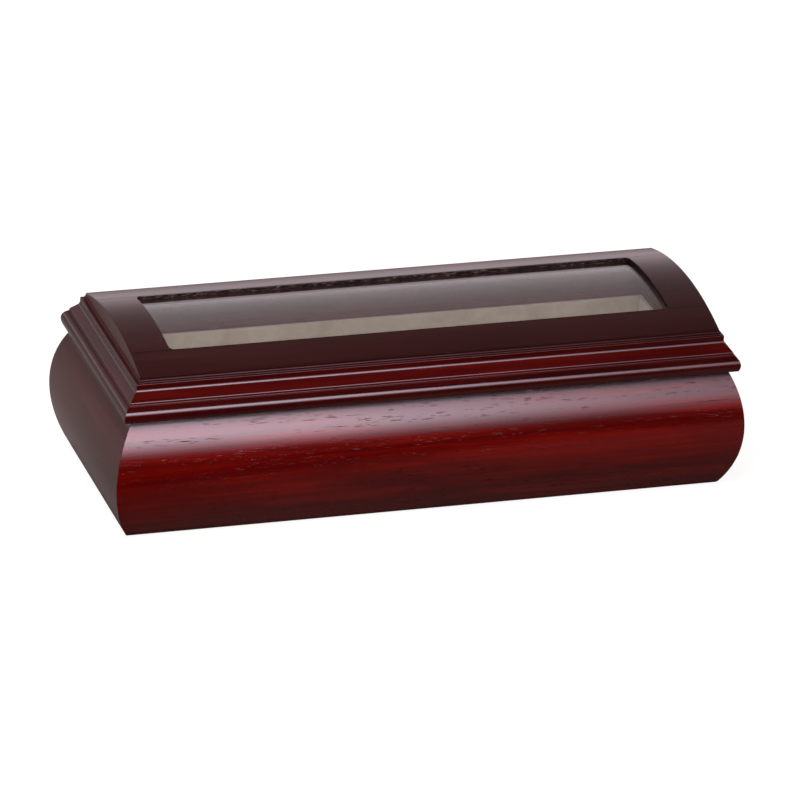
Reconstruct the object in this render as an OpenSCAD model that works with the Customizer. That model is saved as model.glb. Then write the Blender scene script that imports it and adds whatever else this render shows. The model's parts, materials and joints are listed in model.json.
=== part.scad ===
// Watch display box: a long bombé case of mitred boards with an arched, glazed lid,
// five lined compartments, a strap pillow in each, and two brass hinges at the back.
// Millimetres. X runs along the box, Y to the back, Z up. The origin is under the middle of the box.

/* [Body] */
// Length of the body at its rim
rim_l = 288; // [220:1:380]
// Depth of the body at its rim, front to back
rim_d = 99.4; // [90:0.2:150]
// Height of the rim above the table
rim_z = 60.2; // [50:0.2:85]
// How far the swelling walls stand out past the rim
bulge = 8.4; // [3:0.2:14]
// Thickness of the walls at the rim
wall_t = 9.5; // [8:0.5:14]

/* [Bottom] */
// Thickness of the bottom board
bottom_t = 4; // [3:0.5:8]
// Width of the rabbet that the bottom board sits in
rabbet_w = 4; // [2:0.5:6]
// Thickness of the felt under the box
felt_t = 1.6; // [1:0.1:3]
// How far the felt stands below the walls
felt_proud = 0.6; // [0.3:0.1:0.9]

/* [Lining] */
// Thickness of the lined boards on the walls
lining_t = 2; // [1:0.25:4]
// Thickness of the lined board on the floor
floor_t = 1.5; // [1:0.25:4]
// How far the lining stops below the rim
lining_drop = 1.5; // [0:0.25:4]

/* [Compartments] */
// Thickness of the dividers
divider_t = 3; // [2:0.5:6]
// Height of the dividers above the lined floor
divider_h = 39; // [20:1:42]

/* [Pillows] */
// Height of a pillow
pillow_h = 50; // [35:1:52]
// Room at each side of a pillow, left and right
pillow_side_gap = 0.8; // [0.4:0.1:2]
// Room at the front and at the back of a pillow
pillow_end_gap = 1.4; // [0.4:0.1:4]
// Height of the pillow above the floor, so that the soft underside stays clear
pillow_float = 0.3; // [0.2:0.05:0.6]
// How far the pillow's middle swells past its seams
pillow_crown = 2.6; // [1:0.1:4]
// How far the end faces puff out past the seams
pillow_puff = 2.4; // [1:0.1:4]

/* [Lid moulding] */
// How far the bead of the lid stands out past the body's rim
bead_out = 5.1; // [3.5:0.1:6.5]
// Radius of the bead's face
bead_r = 5.3; // [5.1:0.1:7]
// Height of the bead's nose over the rim
bead_nose = 2.9; // [2.4:0.1:3.4]
// Height of the bead
bead_h = 7.3; // [6.6:0.1:7.9]
// Radius of the bead's lower edge
bead_foot_r = 0.6; // [0.3:0.1:1.2]
// Width of each of the two little steps over the bead
step_w = 0.4; // [0.2:0.1:0.6]
// Height of each little step
step_h = 0.8; // [0.5:0.1:1.1]
// Width of the slope over the steps
slope_w = 2.9; // [2:0.1:3.6]
// Height of the slope
slope_h = 3.1; // [2.4:0.1:3.8]
// Width of the cove over the slope
cove_w = 0.9; // [0.6:0.1:1.4]
// Height of the cove
cove_h = 2.4; // [1.8:0.1:3]
// Radius of the cove
cove_r = 3.2; // [2.4:0.1:5]
// Height of the square fillet over the cove
fillet_h = 1.8; // [1:0.1:3]
// Width of the flat on top of the moulding
flat_w = 1.4; // [0.8:0.1:2.6]
// Width of the little lip round the lid panel
lip_w = 0.6; // [0.4:0.1:1.2]
// Height of the little lip round the lid panel
lip_h = 1.3; // [0.6:0.1:2]
// Depth of the ledge that carries the lid panel, below the moulding's flat top
ledge_drop = 2; // [1.2:0.1:2.8]

/* [Lid panel] */
// Height of the panel's front edge over the moulding's flat top
panel_edge_h = 2.6; // [1.8:0.1:3.5]
// Rise of the arch from its front edge to its crest
arch_rise = 7.1; // [6:0.1:14]
// Thickness of the panel over the pane
panel_lip_t = 4; // [3:0.25:5.5]
// Wood left between the window and each end of the panel
border_end = 18.9; // [17:0.1:60]
// Wood left between the window and the panel's long edges
border_side = 16.9; // [14:0.1:30]
// Radius of the window's corners
window_r = 3.5; // [2:0.5:12]
// Thickness of the pieces that close the arch's ends
end_t = 6; // [4:0.5:10]

/* [Glazing] */
// Thickness of the clear pane
pane_t = 2; // [1.5:0.1:3]
// How far the pane runs under the wood round the window
pane_lap = 5; // [3:0.25:6]
// Gap between the pane's edge and its rebate
pane_gap = 0.1; // [0.05:0.05:0.4]
// Thickness of the strips that hold the pane
strip_t = 2; // [1:0.25:3]
// How far the strips stay back from the window's edge
strip_back = 1; // [0.5:0.25:2]
// Gap between the strips and the wood beside them
strip_gap = 0.8; // [0.3:0.1:2]

/* [Hinges] */
// Length of a hinge
hinge_l = 30; // [20:1:45]
// Distance of each hinge's middle from the middle of the box
hinge_x = 88; // [50:1:95]
// Thickness of a leaf
leaf_t = 1.2; // [0.8:0.1:1.6]
// Distance from the leaf's inner edge to the pin's axis
leaf_w = 11.8; // [10:0.2:13]
// Radius of the knuckles
knuckle_r = 1.9; // [1.8:0.1:2.2]
// Radius of the pin
pin_r = 0.9; // [0.6:0.05:1.1]
// Running clearance between pin and knuckles
pin_gap = 0.05; // [0.02:0.01:0.1]
// Radius of the pin's heads
pin_head_r = 1.5; // [1.3:0.1:1.8]
// Thickness of the pin's heads
pin_head_t = 0.5; // [0.3:0.1:1]
// Gap between neighbouring knuckles
knuckle_gap = 0.15; // [0.1:0.05:0.4]
// Room round the knuckles in the wood of the lid
scoop_gap = 0.3; // [0.2:0.05:0.6]
// Room round a leaf in its recess
recess_gap = 0.1; // [0.05:0.05:0.3]

/* [Hinge screws] */
// Radius of a screw's shank
screw_r = 1; // [0.8:0.05:1.3]
// Radius of a screw's head
screw_head_r = 1.8; // [1.5:0.05:2.2]
// Height of a screw's conical head
screw_head_h = 0.9; // [0.6:0.05:1]
// Length of a screw
screw_l = 9; // [6:0.5:11]
// Distance between the two screws of a leaf
screw_pitch = 18; // [12:1:22]
// Distance from a screw to the inner edge of its leaf
screw_edge = 3.6; // [3:0.1:4.5]
// Gap round a screw in its hole
screw_gap = 0.04; // [0.02:0.01:0.1]

/* [Hidden] */
// Compartments in the row; each has its own pillow node
slots = 5;
// Knuckles of one hinge; the body's leaf has the odd ones
knuckles = 5;
// Overcut of cutting shapes
e = 0.01;
$fn = 96;

hl = rim_l / 2;
hd = rim_d / 2;

// Walls
wall_z0 = felt_proud;
wall_h = rim_z - wall_z0;
bulge_r = (wall_h * wall_h / 4 + bulge * bulge) / (2 * bulge);
bottom_z = felt_t;
floor_z = felt_t + bottom_t;
in_l = rim_l - 2 * wall_t;
in_d = rim_d - 2 * wall_t;

// Lining and compartments
cell_z = floor_z + floor_t;
room_l = in_l - 2 * lining_t;
room_d = in_d - 2 * lining_t;
pitch = (room_l + divider_t) / slots;
cell_l = pitch - divider_t;

// Moulding, heights over the rim
bead_u0 = bead_out - bead_r + sqrt(pow(bead_r, 2) - pow(bead_nose - bead_foot_r, 2));
bead_u1 = bead_out - bead_r + sqrt(pow(bead_r, 2) - pow(bead_h - bead_nose, 2));
slope_u = bead_u1 - 2 * step_w;
slope_v = bead_h + 2 * step_h;
cove_u = slope_u - slope_w;
cove_v = slope_v + slope_h;
fillet_u = cove_u - cove_w;
flat_v = cove_v + cove_h + fillet_h;
lip_u0 = fillet_u - flat_w;
lip_u1 = lip_u0 - lip_w;
ledge_v = flat_v - ledge_drop;

// Lid panel: outer arch through its two long edges and its crest
panel_l = rim_l + 2 * lip_u1;
panel_d = rim_d + 2 * lip_u1;
spring_z = rim_z + flat_v + panel_edge_h;
ledge_z = rim_z + ledge_v;
window_l = panel_l - 2 * border_end;
window_w = panel_d - 2 * border_side;
arch_r = (panel_d * panel_d / 4 + arch_rise * arch_rise) / (2 * arch_rise);
arch_z = spring_z + arch_rise - arch_r;
pane_r = arch_r - panel_lip_t;
inner_r = pane_r - pane_t;
// Strips reach from near the window to near the rails and the arch's end pieces
strip_x0 = window_l / 2 + strip_back;
strip_x1 = panel_l / 2 - end_t - strip_gap;
strip_y0 = window_w / 2 + strip_back;
strip_y1 = in_d / 2 - strip_gap;

// Hinge axis, on the joint between body and lid
axis_y = hd + bead_out - 0.5;
leaf_y = axis_y - leaf_w;
plate_y = axis_y - knuckle_r - scoop_gap;
screw_y = leaf_y + screw_edge;
knuckle_l = hinge_l / knuckles;

mahogany = [0.30, 0.07, 0.07];
mahogany_dark = [0.20, 0.05, 0.05];
plywood = [0.72, 0.58, 0.42];
suede = [0.66, 0.61, 0.54];
suede_pillow = [0.72, 0.67, 0.60];
baize = [0.10, 0.10, 0.11];
clear = [0.80, 0.88, 0.88, 0.35];
brass = [0.78, 0.62, 0.28];
steel = [0.80, 0.66, 0.36];

// Points of an arc from a to b with radius r; side 1 bends it to the left of a-b, -1 to the right
function arc(a, b, r, side, n = 8) =
    let (
        m = (a + b) / 2,
        d = b - a,
        len = norm(d),
        h = sqrt(max(0, r * r - len * len / 4)),
        c = m - side * h * [-d[1], d[0]] / len,
        a0 = atan2(a[1] - c[1], a[0] - c[0]),
        a1 = atan2(b[1] - c[1], b[0] - c[0]),
        sweep = a1 - a0 > 180 ? a1 - a0 - 360 : a1 - a0 < -180 ? a1 - a0 + 360 : a1 - a0
    )
    [for (i = [0:n]) c + r * [cos(a0 + sweep * i / n), sin(a0 + sweep * i / n)]];

// A run of a profile along one side of the box. The profile's x points outward from the rim,
// its y is the height. turn is 0 for the right side, 90 back, 180 left, 270 front.
module run(turn) {
    ends = turn % 180 == 0;
    off = ends ? hl : hd;
    other = ends ? hd : hl;
    reach = 20;
    rotate([0, 0, turn])
        intersection() {
            translate([off, 0, 0])
                rotate([90, 0, 0])
                    linear_extrude(2 * (other + reach), center = true)
                        children();
            // Both ends are mitred at 45 degrees through the corner of the rim
            linear_extrude(rim_z * 2)
                polygon([
                    [off - other, 0],
                    [off + reach, -other - reach],
                    [off + reach, other + reach]
                ]);
        }
}

// Section of a wall: flat inside, one arc outside, a rabbet below for the bottom board
module wall_section() {
    difference() {
        intersection() {
            translate([bulge - bulge_r, wall_z0 + wall_h / 2])
                circle(bulge_r, $fn = 180);
            translate([-wall_t, wall_z0])
                square([wall_t + bulge + 1, wall_h]);
        }
        translate([-wall_t - e, wall_z0 - e])
            square([rabbet_w + e, floor_z - wall_z0 + e]);
    }
}

// Section of the lid's moulding, outward and up from the rim: bead, two steps, slope, cove, fillet,
// flat, lip, ledge
module rail_section() {
    translate([0, rim_z])
        polygon(concat(
            [[-wall_t, 0]],
            arc([bead_u0 - bead_foot_r, 0], [bead_u0, bead_foot_r], bead_foot_r, -1, 4),
            arc([bead_u0, bead_foot_r], [bead_u1, bead_h], bead_r, -1, 16),
            [
                [bead_u1 - step_w, bead_h],
                [bead_u1 - step_w, bead_h + step_h],
                [slope_u, bead_h + step_h],
                [slope_u, slope_v]
            ],
            arc([cove_u, cove_v], [fillet_u, cove_v + cove_h], cove_r, 1, 7),
            [
                [fillet_u, flat_v],
                [lip_u0, flat_v],
                [lip_u0 - lip_w * 0.3, flat_v + lip_h],
                [lip_u1, flat_v + lip_h],
                [lip_u1, ledge_v],
                [-wall_t, ledge_v]
            ]
        ));
}

// A flat board from its low corner to its high corner
module board(low, high) {
    translate(low) cube(high - low);
}

// A round bar along X from x0 to x1, on the line y, z
module bar_x(x0, x1, y, z, r) {
    translate([x0, y, z]) rotate([0, 90, 0]) cylinder(r = r, h = x1 - x0);
}

// Part of a tube round the arch's axis, between two radii, cut to a rectangle and level at foot
module arch_part(r0, r1, low, high, foot = rim_z) {
    intersection() {
        difference() {
            bar_x(low[0], high[0], 0, arch_z, r1, $fn = 360);
            bar_x(low[0] - 1, high[0] + 1, 0, arch_z, r0, $fn = 360);
        }
        translate([low[0] - 1, low[1], foot])
            cube([high[0] - low[0] + 2, high[1] - low[1], arch_r]);
    }
}

// A rectangle with round corners, about the origin
module round_rect(l, w, r) {
    square([l - 2 * r, w], center = true);
    square([l, w - 2 * r], center = true);
    for (x = [-1, 1], y = [-1, 1])
        translate([x * (l / 2 - r), y * (w / 2 - r)]) circle(r, $fn = 48);
}

// Hinge screws of one leaf as a cutter or as a solid. up is 1 for the lid, -1 for the body.
module screw_pair(x0, up, gap) {
    for (s = [-1, 1])
        translate([x0 + s * screw_pitch / 2, screw_y, rim_z + up * 0.05])
            mirror([0, 0, up > 0 ? 0 : 1]) {
                cylinder(r1 = screw_head_r + gap, r2 = screw_r + gap, h = screw_head_h, $fn = 48);
                cylinder(r = screw_r + gap, h = screw_l - screw_r + gap, $fn = 48);
                translate([0, 0, screw_l - screw_r + gap])
                    cylinder(r1 = screw_r + gap, r2 = 0.2, h = screw_r, $fn = 48);
            }
}

// Recess of a leaf in the wood, from its inner edge out past the bead
module leaf_recess(x0, up) {
    low = up > 0 ? rim_z - e : rim_z - leaf_t;
    translate([x0 - hinge_l / 2 - recess_gap, leaf_y - recess_gap, low])
        cube([hinge_l + 2 * recess_gap, leaf_w + bead_out + bulge, leaf_t + e]);
}

// One leaf with its knuckles. own lists which knuckles of the hinge belong to it.
module leaf(x0, up, own) {
    x_left = x0 - hinge_l / 2;
    z0 = up > 0 ? rim_z : rim_z - leaf_t;
    difference() {
        union() {
            translate([x_left, leaf_y, z0]) cube([hinge_l, plate_y - leaf_y, leaf_t]);
            for (k = own) {
                xa = x_left + k * knuckle_l + knuckle_gap / 2;
                xb = x_left + (k + 1) * knuckle_l - knuckle_gap / 2;
                translate([xa, plate_y - e, z0]) cube([xb - xa, axis_y - plate_y + e, leaf_t]);
                bar_x(xa, xb, axis_y, rim_z, knuckle_r);
            }
        }
        bar_x(x_left - 1, x_left + hinge_l + 1, axis_y, rim_z, pin_r + pin_gap);
        screw_pair(x0, up, screw_gap);
    }
}

module hinge_pin(x0) {
    xa = x0 - hinge_l / 2;
    xb = x0 + hinge_l / 2;
    bar_x(xa - pin_head_t, xb + pin_head_t, axis_y, rim_z, pin_r);
    bar_x(xa - pin_head_t, xa, axis_y, rim_z, pin_head_r);
    bar_x(xb, xb + pin_head_t, axis_y, rim_z, pin_head_r);
}

// Scoop in the lid's back rail that gives the knuckles room
module knuckle_scoop(x0) {
    half = hinge_l / 2 + pin_head_t + recess_gap;
    bar_x(x0 - half, x0 + half, axis_y, rim_z, knuckle_r + scoop_gap);
}

// Divider number n, counted from the left, with a rounded upper edge
module divider(n) {
    x = -room_l / 2 + n * pitch - divider_t / 2;
    z1 = cell_z + divider_h - divider_t / 2;
    color(suede) {
        board([x - divider_t / 2, -room_d / 2, cell_z], [x + divider_t / 2, room_d / 2, z1]);
        translate([x, room_d / 2, z1]) rotate([90, 0, 0]) cylinder(d = divider_t, h = room_d, $fn = 32);
    }
}

// Section of a pillow across the box: a fat rounded outline, flatter below
function pillow_ring(x, s, w, n) = [
    for (i = [0:n - 1])
        let (
            t = 360 * i / n,
            cy = cos(t),
            cz = sin(t),
            k = cz > 0 ? 0.80 : 0.60
        )
        [
            x,
            s * w / 2 * sign(cy) * pow(abs(cy), 0.72),
            pillow_h / 2 + s * pillow_h / 2 * sign(cz) * pow(abs(cz), k)
        ]
];

// Pillow number n: seams near both ends draw the cover in, the middle crowns and the end faces puff
module pillow(n) {
    half = cell_l / 2 - pillow_side_gap;
    w = room_d - 2 * pillow_end_gap;
    seam = half - pillow_puff;
    draw = 1 - 2 * pillow_crown / pillow_h;
    crown = function (t) draw + (1 - draw) * pow(cos(90 * t), 0.55);
    // Stations along X as pairs of place and section scale, from the middle outward
    middle = [for (t = [0, 0.3, 0.55, 0.75, 0.89, 0.97, 1]) [seam * t, crown(t)]];
    face = [
        for (t = [0.12, 0.4, 0.7, 0.92])
            [seam + pillow_puff * sqrt(1 - pow(1 - t, 2)), draw * (1 - 0.9 * pow(t, 1.6))]
    ];
    right = concat(middle, face);
    count = len(right);
    stations = concat([for (i = [count - 1:-1:1]) [-right[i][0], right[i][1]]], right);
    rings = len(stations);
    m = 38;
    points = concat(
        [for (s = stations) each pillow_ring(s[0], s[1], w, m)],
        [[-half, 0, pillow_h / 2], [half, 0, pillow_h / 2]]
    );
    faces = concat(
        [
            for (i = [0:rings - 2], j = [0:m - 1])
                each [
                    [i * m + j, (i + 1) * m + j, i * m + (j + 1) % m],
                    [i * m + (j + 1) % m, (i + 1) * m + j, (i + 1) * m + (j + 1) % m]
                ]
        ],
        [for (j = [0:m - 1]) [rings * m, j, (j + 1) % m]],
        [for (j = [0:m - 1]) [rings * m + 1, (rings - 1) * m + (j + 1) % m, (rings - 1) * m + j]]
    );
    color(suede_pillow)
        translate([(n - (slots + 1) / 2) * pitch, 0, cell_z + pillow_float])
            polyhedron(points, faces, convexity = 4);
}

module front_board() {
    color(mahogany) run(270) wall_section();
}

module back_board() {
    color(mahogany)
        difference() {
            run(90) wall_section();
            for (s = [-1, 1]) {
                leaf_recess(s * hinge_x, -1);
                screw_pair(s * hinge_x, -1, screw_gap);
            }
        }
}

module left_board() {
    color(mahogany) run(180) wall_section();
}

module right_board() {
    color(mahogany) run(0) wall_section();
}

module bottom_board() {
    l = in_l + 2 * rabbet_w;
    d = in_d + 2 * rabbet_w;
    color(plywood) board([-l / 2, -d / 2, bottom_z], [l / 2, d / 2, floor_z]);
}

module underside_felt() {
    l = in_l + 2 * rabbet_w;
    d = in_d + 2 * rabbet_w;
    color(baize) board([-l / 2, -d / 2, 0], [l / 2, d / 2, bottom_z]);
}

module floor_lining() {
    color(suede) board([-in_l / 2, -in_d / 2, floor_z], [in_l / 2, in_d / 2, cell_z]);
}

// Long lined boards on the front and the back wall; side is -1 or 1
module long_lining(side) {
    y0 = side > 0 ? room_d / 2 : -in_d / 2;
    color(suede) board([-in_l / 2, y0, cell_z], [in_l / 2, y0 + lining_t, rim_z - lining_drop]);
}

// Short lined boards on the end walls, between the long ones
module short_lining(side) {
    x0 = side > 0 ? room_l / 2 : -in_l / 2;
    color(suede) board([x0, -room_d / 2, cell_z], [x0 + lining_t, room_d / 2, rim_z - lining_drop]);
}

module front_lining() {
    long_lining(-1);
}

module back_lining() {
    long_lining(1);
}

module left_lining() {
    short_lining(-1);
}

module right_lining() {
    short_lining(1);
}

module lid_front_rail() {
    color(mahogany_dark) run(270) rail_section();
}

module lid_back_rail() {
    color(mahogany_dark)
        difference() {
            run(90) rail_section();
            for (s = [-1, 1]) {
                leaf_recess(s * hinge_x, 1);
                knuckle_scoop(s * hinge_x);
                screw_pair(s * hinge_x, 1, screw_gap);
            }
        }
}

module lid_left_rail() {
    color(mahogany_dark) run(180) rail_section();
}

module lid_right_rail() {
    color(mahogany_dark) run(0) rail_section();
}

module lid_arch_panel() {
    rebate_l = window_l + 2 * pane_lap;
    rebate_w = window_w + 2 * pane_lap;
    color(mahogany_dark)
        difference() {
            arch_part(
                inner_r, arch_r, [-panel_l / 2, -panel_d / 2], [panel_l / 2, panel_d / 2], ledge_z
            );
            translate([0, 0, rim_z])
                linear_extrude(arch_r) round_rect(window_l, window_w, window_r);
            arch_part(inner_r - 1, pane_r, [-rebate_l / 2, -rebate_w / 2], [rebate_l / 2, rebate_w / 2]);
        }
}

// Filler under the arch's end; side is -1 or 1
module arch_end(side) {
    x0 = side > 0 ? panel_l / 2 - end_t : -panel_l / 2;
    color(mahogany_dark)
        intersection() {
            bar_x(x0, x0 + end_t, 0, arch_z, inner_r, $fn = 360);
            translate([x0 - 1, -panel_d / 2, ledge_z]) cube([end_t + 2, panel_d, arch_r]);
        }
}

module lid_left_end() {
    arch_end(-1);
}

module lid_right_end() {
    arch_end(1);
}

module window_pane() {
    l = window_l + 2 * (pane_lap - pane_gap);
    w = window_w + 2 * (pane_lap - pane_gap);
    color(clear) arch_part(inner_r, pane_r, [-l / 2, -w / 2], [l / 2, w / 2]);
}

// Long glazing strips run the full length, front and back; side is -1 or 1
module long_strip(side) {
    y0 = side > 0 ? strip_y0 : -strip_y1;
    w = strip_y1 - strip_y0;
    color(mahogany_dark)
        arch_part(inner_r - strip_t, inner_r, [-strip_x1, y0], [strip_x1, y0 + w]);
}

// Short glazing strips are bent to the arch and fit between the long ones
module short_strip(side) {
    x0 = side > 0 ? strip_x0 : -strip_x1;
    w = strip_x1 - strip_x0;
    color(mahogany_dark)
        arch_part(inner_r - strip_t, inner_r, [x0, -strip_y0], [x0 + w, strip_y0]);
}

module glazing_strip_front() {
    long_strip(-1);
}

module glazing_strip_back() {
    long_strip(1);
}

module glazing_strip_left() {
    short_strip(-1);
}

module glazing_strip_right() {
    short_strip(1);
}

module left_hinge_body_leaf() {
    color(brass) leaf(-hinge_x, -1, [0:2:knuckles - 1]);
}

module left_hinge_lid_leaf() {
    color(brass) leaf(-hinge_x, 1, [1:2:knuckles - 1]);
}

module left_hinge_pin() {
    color(steel) hinge_pin(-hinge_x);
}

module right_hinge_body_leaf() {
    color(brass) leaf(hinge_x, -1, [0:2:knuckles - 1]);
}

module right_hinge_lid_leaf() {
    color(brass) leaf(hinge_x, 1, [1:2:knuckles - 1]);
}

module right_hinge_pin() {
    color(steel) hinge_pin(hinge_x);
}

module left_hinge_body_screws() {
    color(steel) screw_pair(-hinge_x, -1, 0);
}

module left_hinge_lid_screws() {
    color(steel) screw_pair(-hinge_x, 1, 0);
}

module right_hinge_body_screws() {
    color(steel) screw_pair(hinge_x, -1, 0);
}

module right_hinge_lid_screws() {
    color(steel) screw_pair(hinge_x, 1, 0);
}

front_board();
back_board();
left_board();
right_board();
bottom_board();
underside_felt();
front_lining();
back_lining();
left_lining();
right_lining();
floor_lining();
divider(1);  // divider_1
divider(2);  // divider_2
divider(3);  // divider_3
divider(4);  // divider_4
pillow(1);  // pillow_1
pillow(2);  // pillow_2
pillow(3);  // pillow_3
pillow(4);  // pillow_4
pillow(5);  // pillow_5
lid_front_rail();
lid_back_rail();
lid_left_rail();
lid_right_rail();
lid_arch_panel();
lid_left_end();
lid_right_end();
window_pane();
glazing_strip_front();
glazing_strip_back();
glazing_strip_left();
glazing_strip_right();
left_hinge_body_leaf();
left_hinge_lid_leaf();
left_hinge_pin();
right_hinge_body_leaf();
right_hinge_lid_leaf();
right_hinge_pin();
left_hinge_body_screws();
left_hinge_lid_screws();
right_hinge_body_screws();
right_hinge_lid_screws();
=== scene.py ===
import json
import math

import bmesh
import bpy
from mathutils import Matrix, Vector, noise

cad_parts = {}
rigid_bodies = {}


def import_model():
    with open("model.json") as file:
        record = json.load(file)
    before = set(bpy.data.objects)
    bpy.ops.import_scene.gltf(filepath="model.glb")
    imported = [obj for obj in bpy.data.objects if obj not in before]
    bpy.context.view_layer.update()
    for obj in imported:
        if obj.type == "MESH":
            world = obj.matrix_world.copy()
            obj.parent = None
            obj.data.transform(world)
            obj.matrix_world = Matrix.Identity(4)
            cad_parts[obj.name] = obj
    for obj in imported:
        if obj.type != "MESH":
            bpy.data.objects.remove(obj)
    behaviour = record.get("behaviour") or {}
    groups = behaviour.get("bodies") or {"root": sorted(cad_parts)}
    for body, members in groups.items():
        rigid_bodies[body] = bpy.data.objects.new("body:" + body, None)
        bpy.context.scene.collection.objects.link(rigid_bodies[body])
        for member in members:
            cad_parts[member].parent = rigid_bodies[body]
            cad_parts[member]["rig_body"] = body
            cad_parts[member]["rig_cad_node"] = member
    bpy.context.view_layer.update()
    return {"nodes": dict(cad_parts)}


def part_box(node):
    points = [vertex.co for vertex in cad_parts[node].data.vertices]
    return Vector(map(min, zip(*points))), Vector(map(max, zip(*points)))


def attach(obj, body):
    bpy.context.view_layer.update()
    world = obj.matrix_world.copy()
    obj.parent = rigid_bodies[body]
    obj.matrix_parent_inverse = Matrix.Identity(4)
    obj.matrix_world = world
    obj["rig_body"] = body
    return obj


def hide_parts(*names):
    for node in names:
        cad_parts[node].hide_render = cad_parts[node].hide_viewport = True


# Watch display box: bombé case, arched glazed lid, five lined compartments with strap pillows.
# All sizes below are millimetres; mm turns them into Blender's metres.
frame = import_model()
mm = 0.001

# The rim of the body, which every mitre and moulding is measured from
rim = {"halfLength": 144.0, "halfDepth": 49.7, "height": 60.2}
sideTurns = {"front": 0, "right": 90, "back": 180, "left": 270}
overrun = 15  # how far a length is left long past its mitres, and sawn off


# Small helpers for shaping a piece


def clearSelection():
    # every helper starts here, so none needs edit mode to be left before it
    if bpy.context.mode != "OBJECT":
        bpy.ops.object.mode_set(mode="OBJECT")
    bpy.ops.object.select_all(action="DESELECT")


def workOn(piece):
    clearSelection()
    piece.select_set(True)
    bpy.context.view_layer.objects.active = piece


def editMode(piece, kind="FACE"):
    workOn(piece)
    bpy.ops.object.mode_set(mode="EDIT")
    bpy.ops.mesh.select_mode(type=kind)
    bpy.ops.mesh.select_all(action="DESELECT")


def pick(piece, kind, test):
    # selects vertices, edges or faces by a test of their place or normal, in edit mode
    bpy.ops.mesh.select_mode(type=kind)
    bpy.ops.mesh.select_all(action="DESELECT")
    mesh = bmesh.from_edit_mesh(piece.data)
    mesh.normal_update()
    parts = {"VERT": mesh.verts, "EDGE": mesh.edges, "FACE": mesh.faces}[kind]
    found = 0
    for part in parts:
        if test(part):
            part.select_set(True)
            found += 1
    mesh.select_flush_mode()
    bmesh.update_edit_mesh(piece.data)
    return found


def block(name, low, high):
    # a squared block from its low corner to its high corner
    clearSelection()
    low, high = Vector(low) * mm, Vector(high) * mm
    bpy.ops.mesh.primitive_cube_add(size=1, location=(low + high) / 2, scale=high - low)
    piece = bpy.context.object
    piece.name = piece.data.name = name
    bpy.ops.object.transform_apply()
    return piece


def bar(name, low, high, radius, sides=32):
    # a round bar from one point to another along X, Y or Z
    clearSelection()
    low, high = Vector(low) * mm, Vector(high) * mm
    along = high - low
    bpy.ops.mesh.primitive_cylinder_add(
        vertices=sides,
        radius=radius * mm,
        depth=along.length,
        location=(low + high) / 2,
        rotation=Vector((0, 0, 1)).rotation_difference(along).to_euler(),
    )
    piece = bpy.context.object
    piece.name = piece.data.name = name
    bpy.ops.object.transform_apply()
    return piece


def cutAway(piece, cutter):
    workOn(piece)
    cut = piece.modifiers.new("cut", "BOOLEAN")
    cut.operation = "DIFFERENCE"
    cut.solver = "EXACT"
    cut.object = cutter
    bpy.ops.object.modifier_apply(modifier=cut.name)
    bpy.data.objects.remove(cutter, do_unlink=True)


def softenEdges(piece, size, segments=2, angle=35):
    workOn(piece)
    soft = piece.modifiers.new("arris", "BEVEL")
    soft.width = size * mm
    soft.segments = segments
    soft.limit_method = "ANGLE"
    soft.angle_limit = math.radians(angle)
    bpy.ops.object.modifier_apply(modifier=soft.name)


def joinPieces(pieces, name):
    clearSelection()
    for piece in pieces:
        piece.select_set(True)
    bpy.context.view_layer.objects.active = pieces[0]
    bpy.ops.object.join()
    pieces[0].name = pieces[0].data.name = name
    return pieces[0]


def faceOutwards():
    # in edit mode; a mirrored piece, for one, is inside out until its normals are recalculated
    bpy.ops.mesh.select_all(action="SELECT")
    bpy.ops.mesh.normals_make_consistent(inside=False)


def copyPiece(piece, name, shift=(0, 0, 0), mirrored=None):
    made = piece.copy()
    made.data = piece.data.copy()
    made.name = made.data.name = name
    bpy.context.scene.collection.objects.link(made)
    workOn(made)
    if mirrored is not None:
        made.scale[mirrored] = -1
    made.location = Vector(shift) * mm
    bpy.ops.object.transform_apply()
    if mirrored is not None:
        bpy.ops.object.mode_set(mode="EDIT")
        faceOutwards()
        bpy.ops.object.mode_set(mode="OBJECT")
    return made


def smoothOff(piece, angle=30):
    # smooth shading over soft edges; the large faces lead, so a small bevel doesn't bend long ones
    workOn(piece)
    bpy.ops.object.shade_smooth_by_angle(angle=math.radians(angle))
    lead = piece.modifiers.new("lead", "WEIGHTED_NORMAL")
    lead.keep_sharp = True
    bpy.ops.object.modifier_apply(modifier=lead.name)


def handOver(piece, body, node, slotName, *finishes):
    # gives the piece its finishes, attaches it to its CAD body and hides the CAD node
    if not piece.data.materials:
        for finish in finishes:
            piece.data.materials.append(finish)
    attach(piece, body)
    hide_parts(node)


# Sections: traced as a line from one vertex, filled and run along a side


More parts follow.
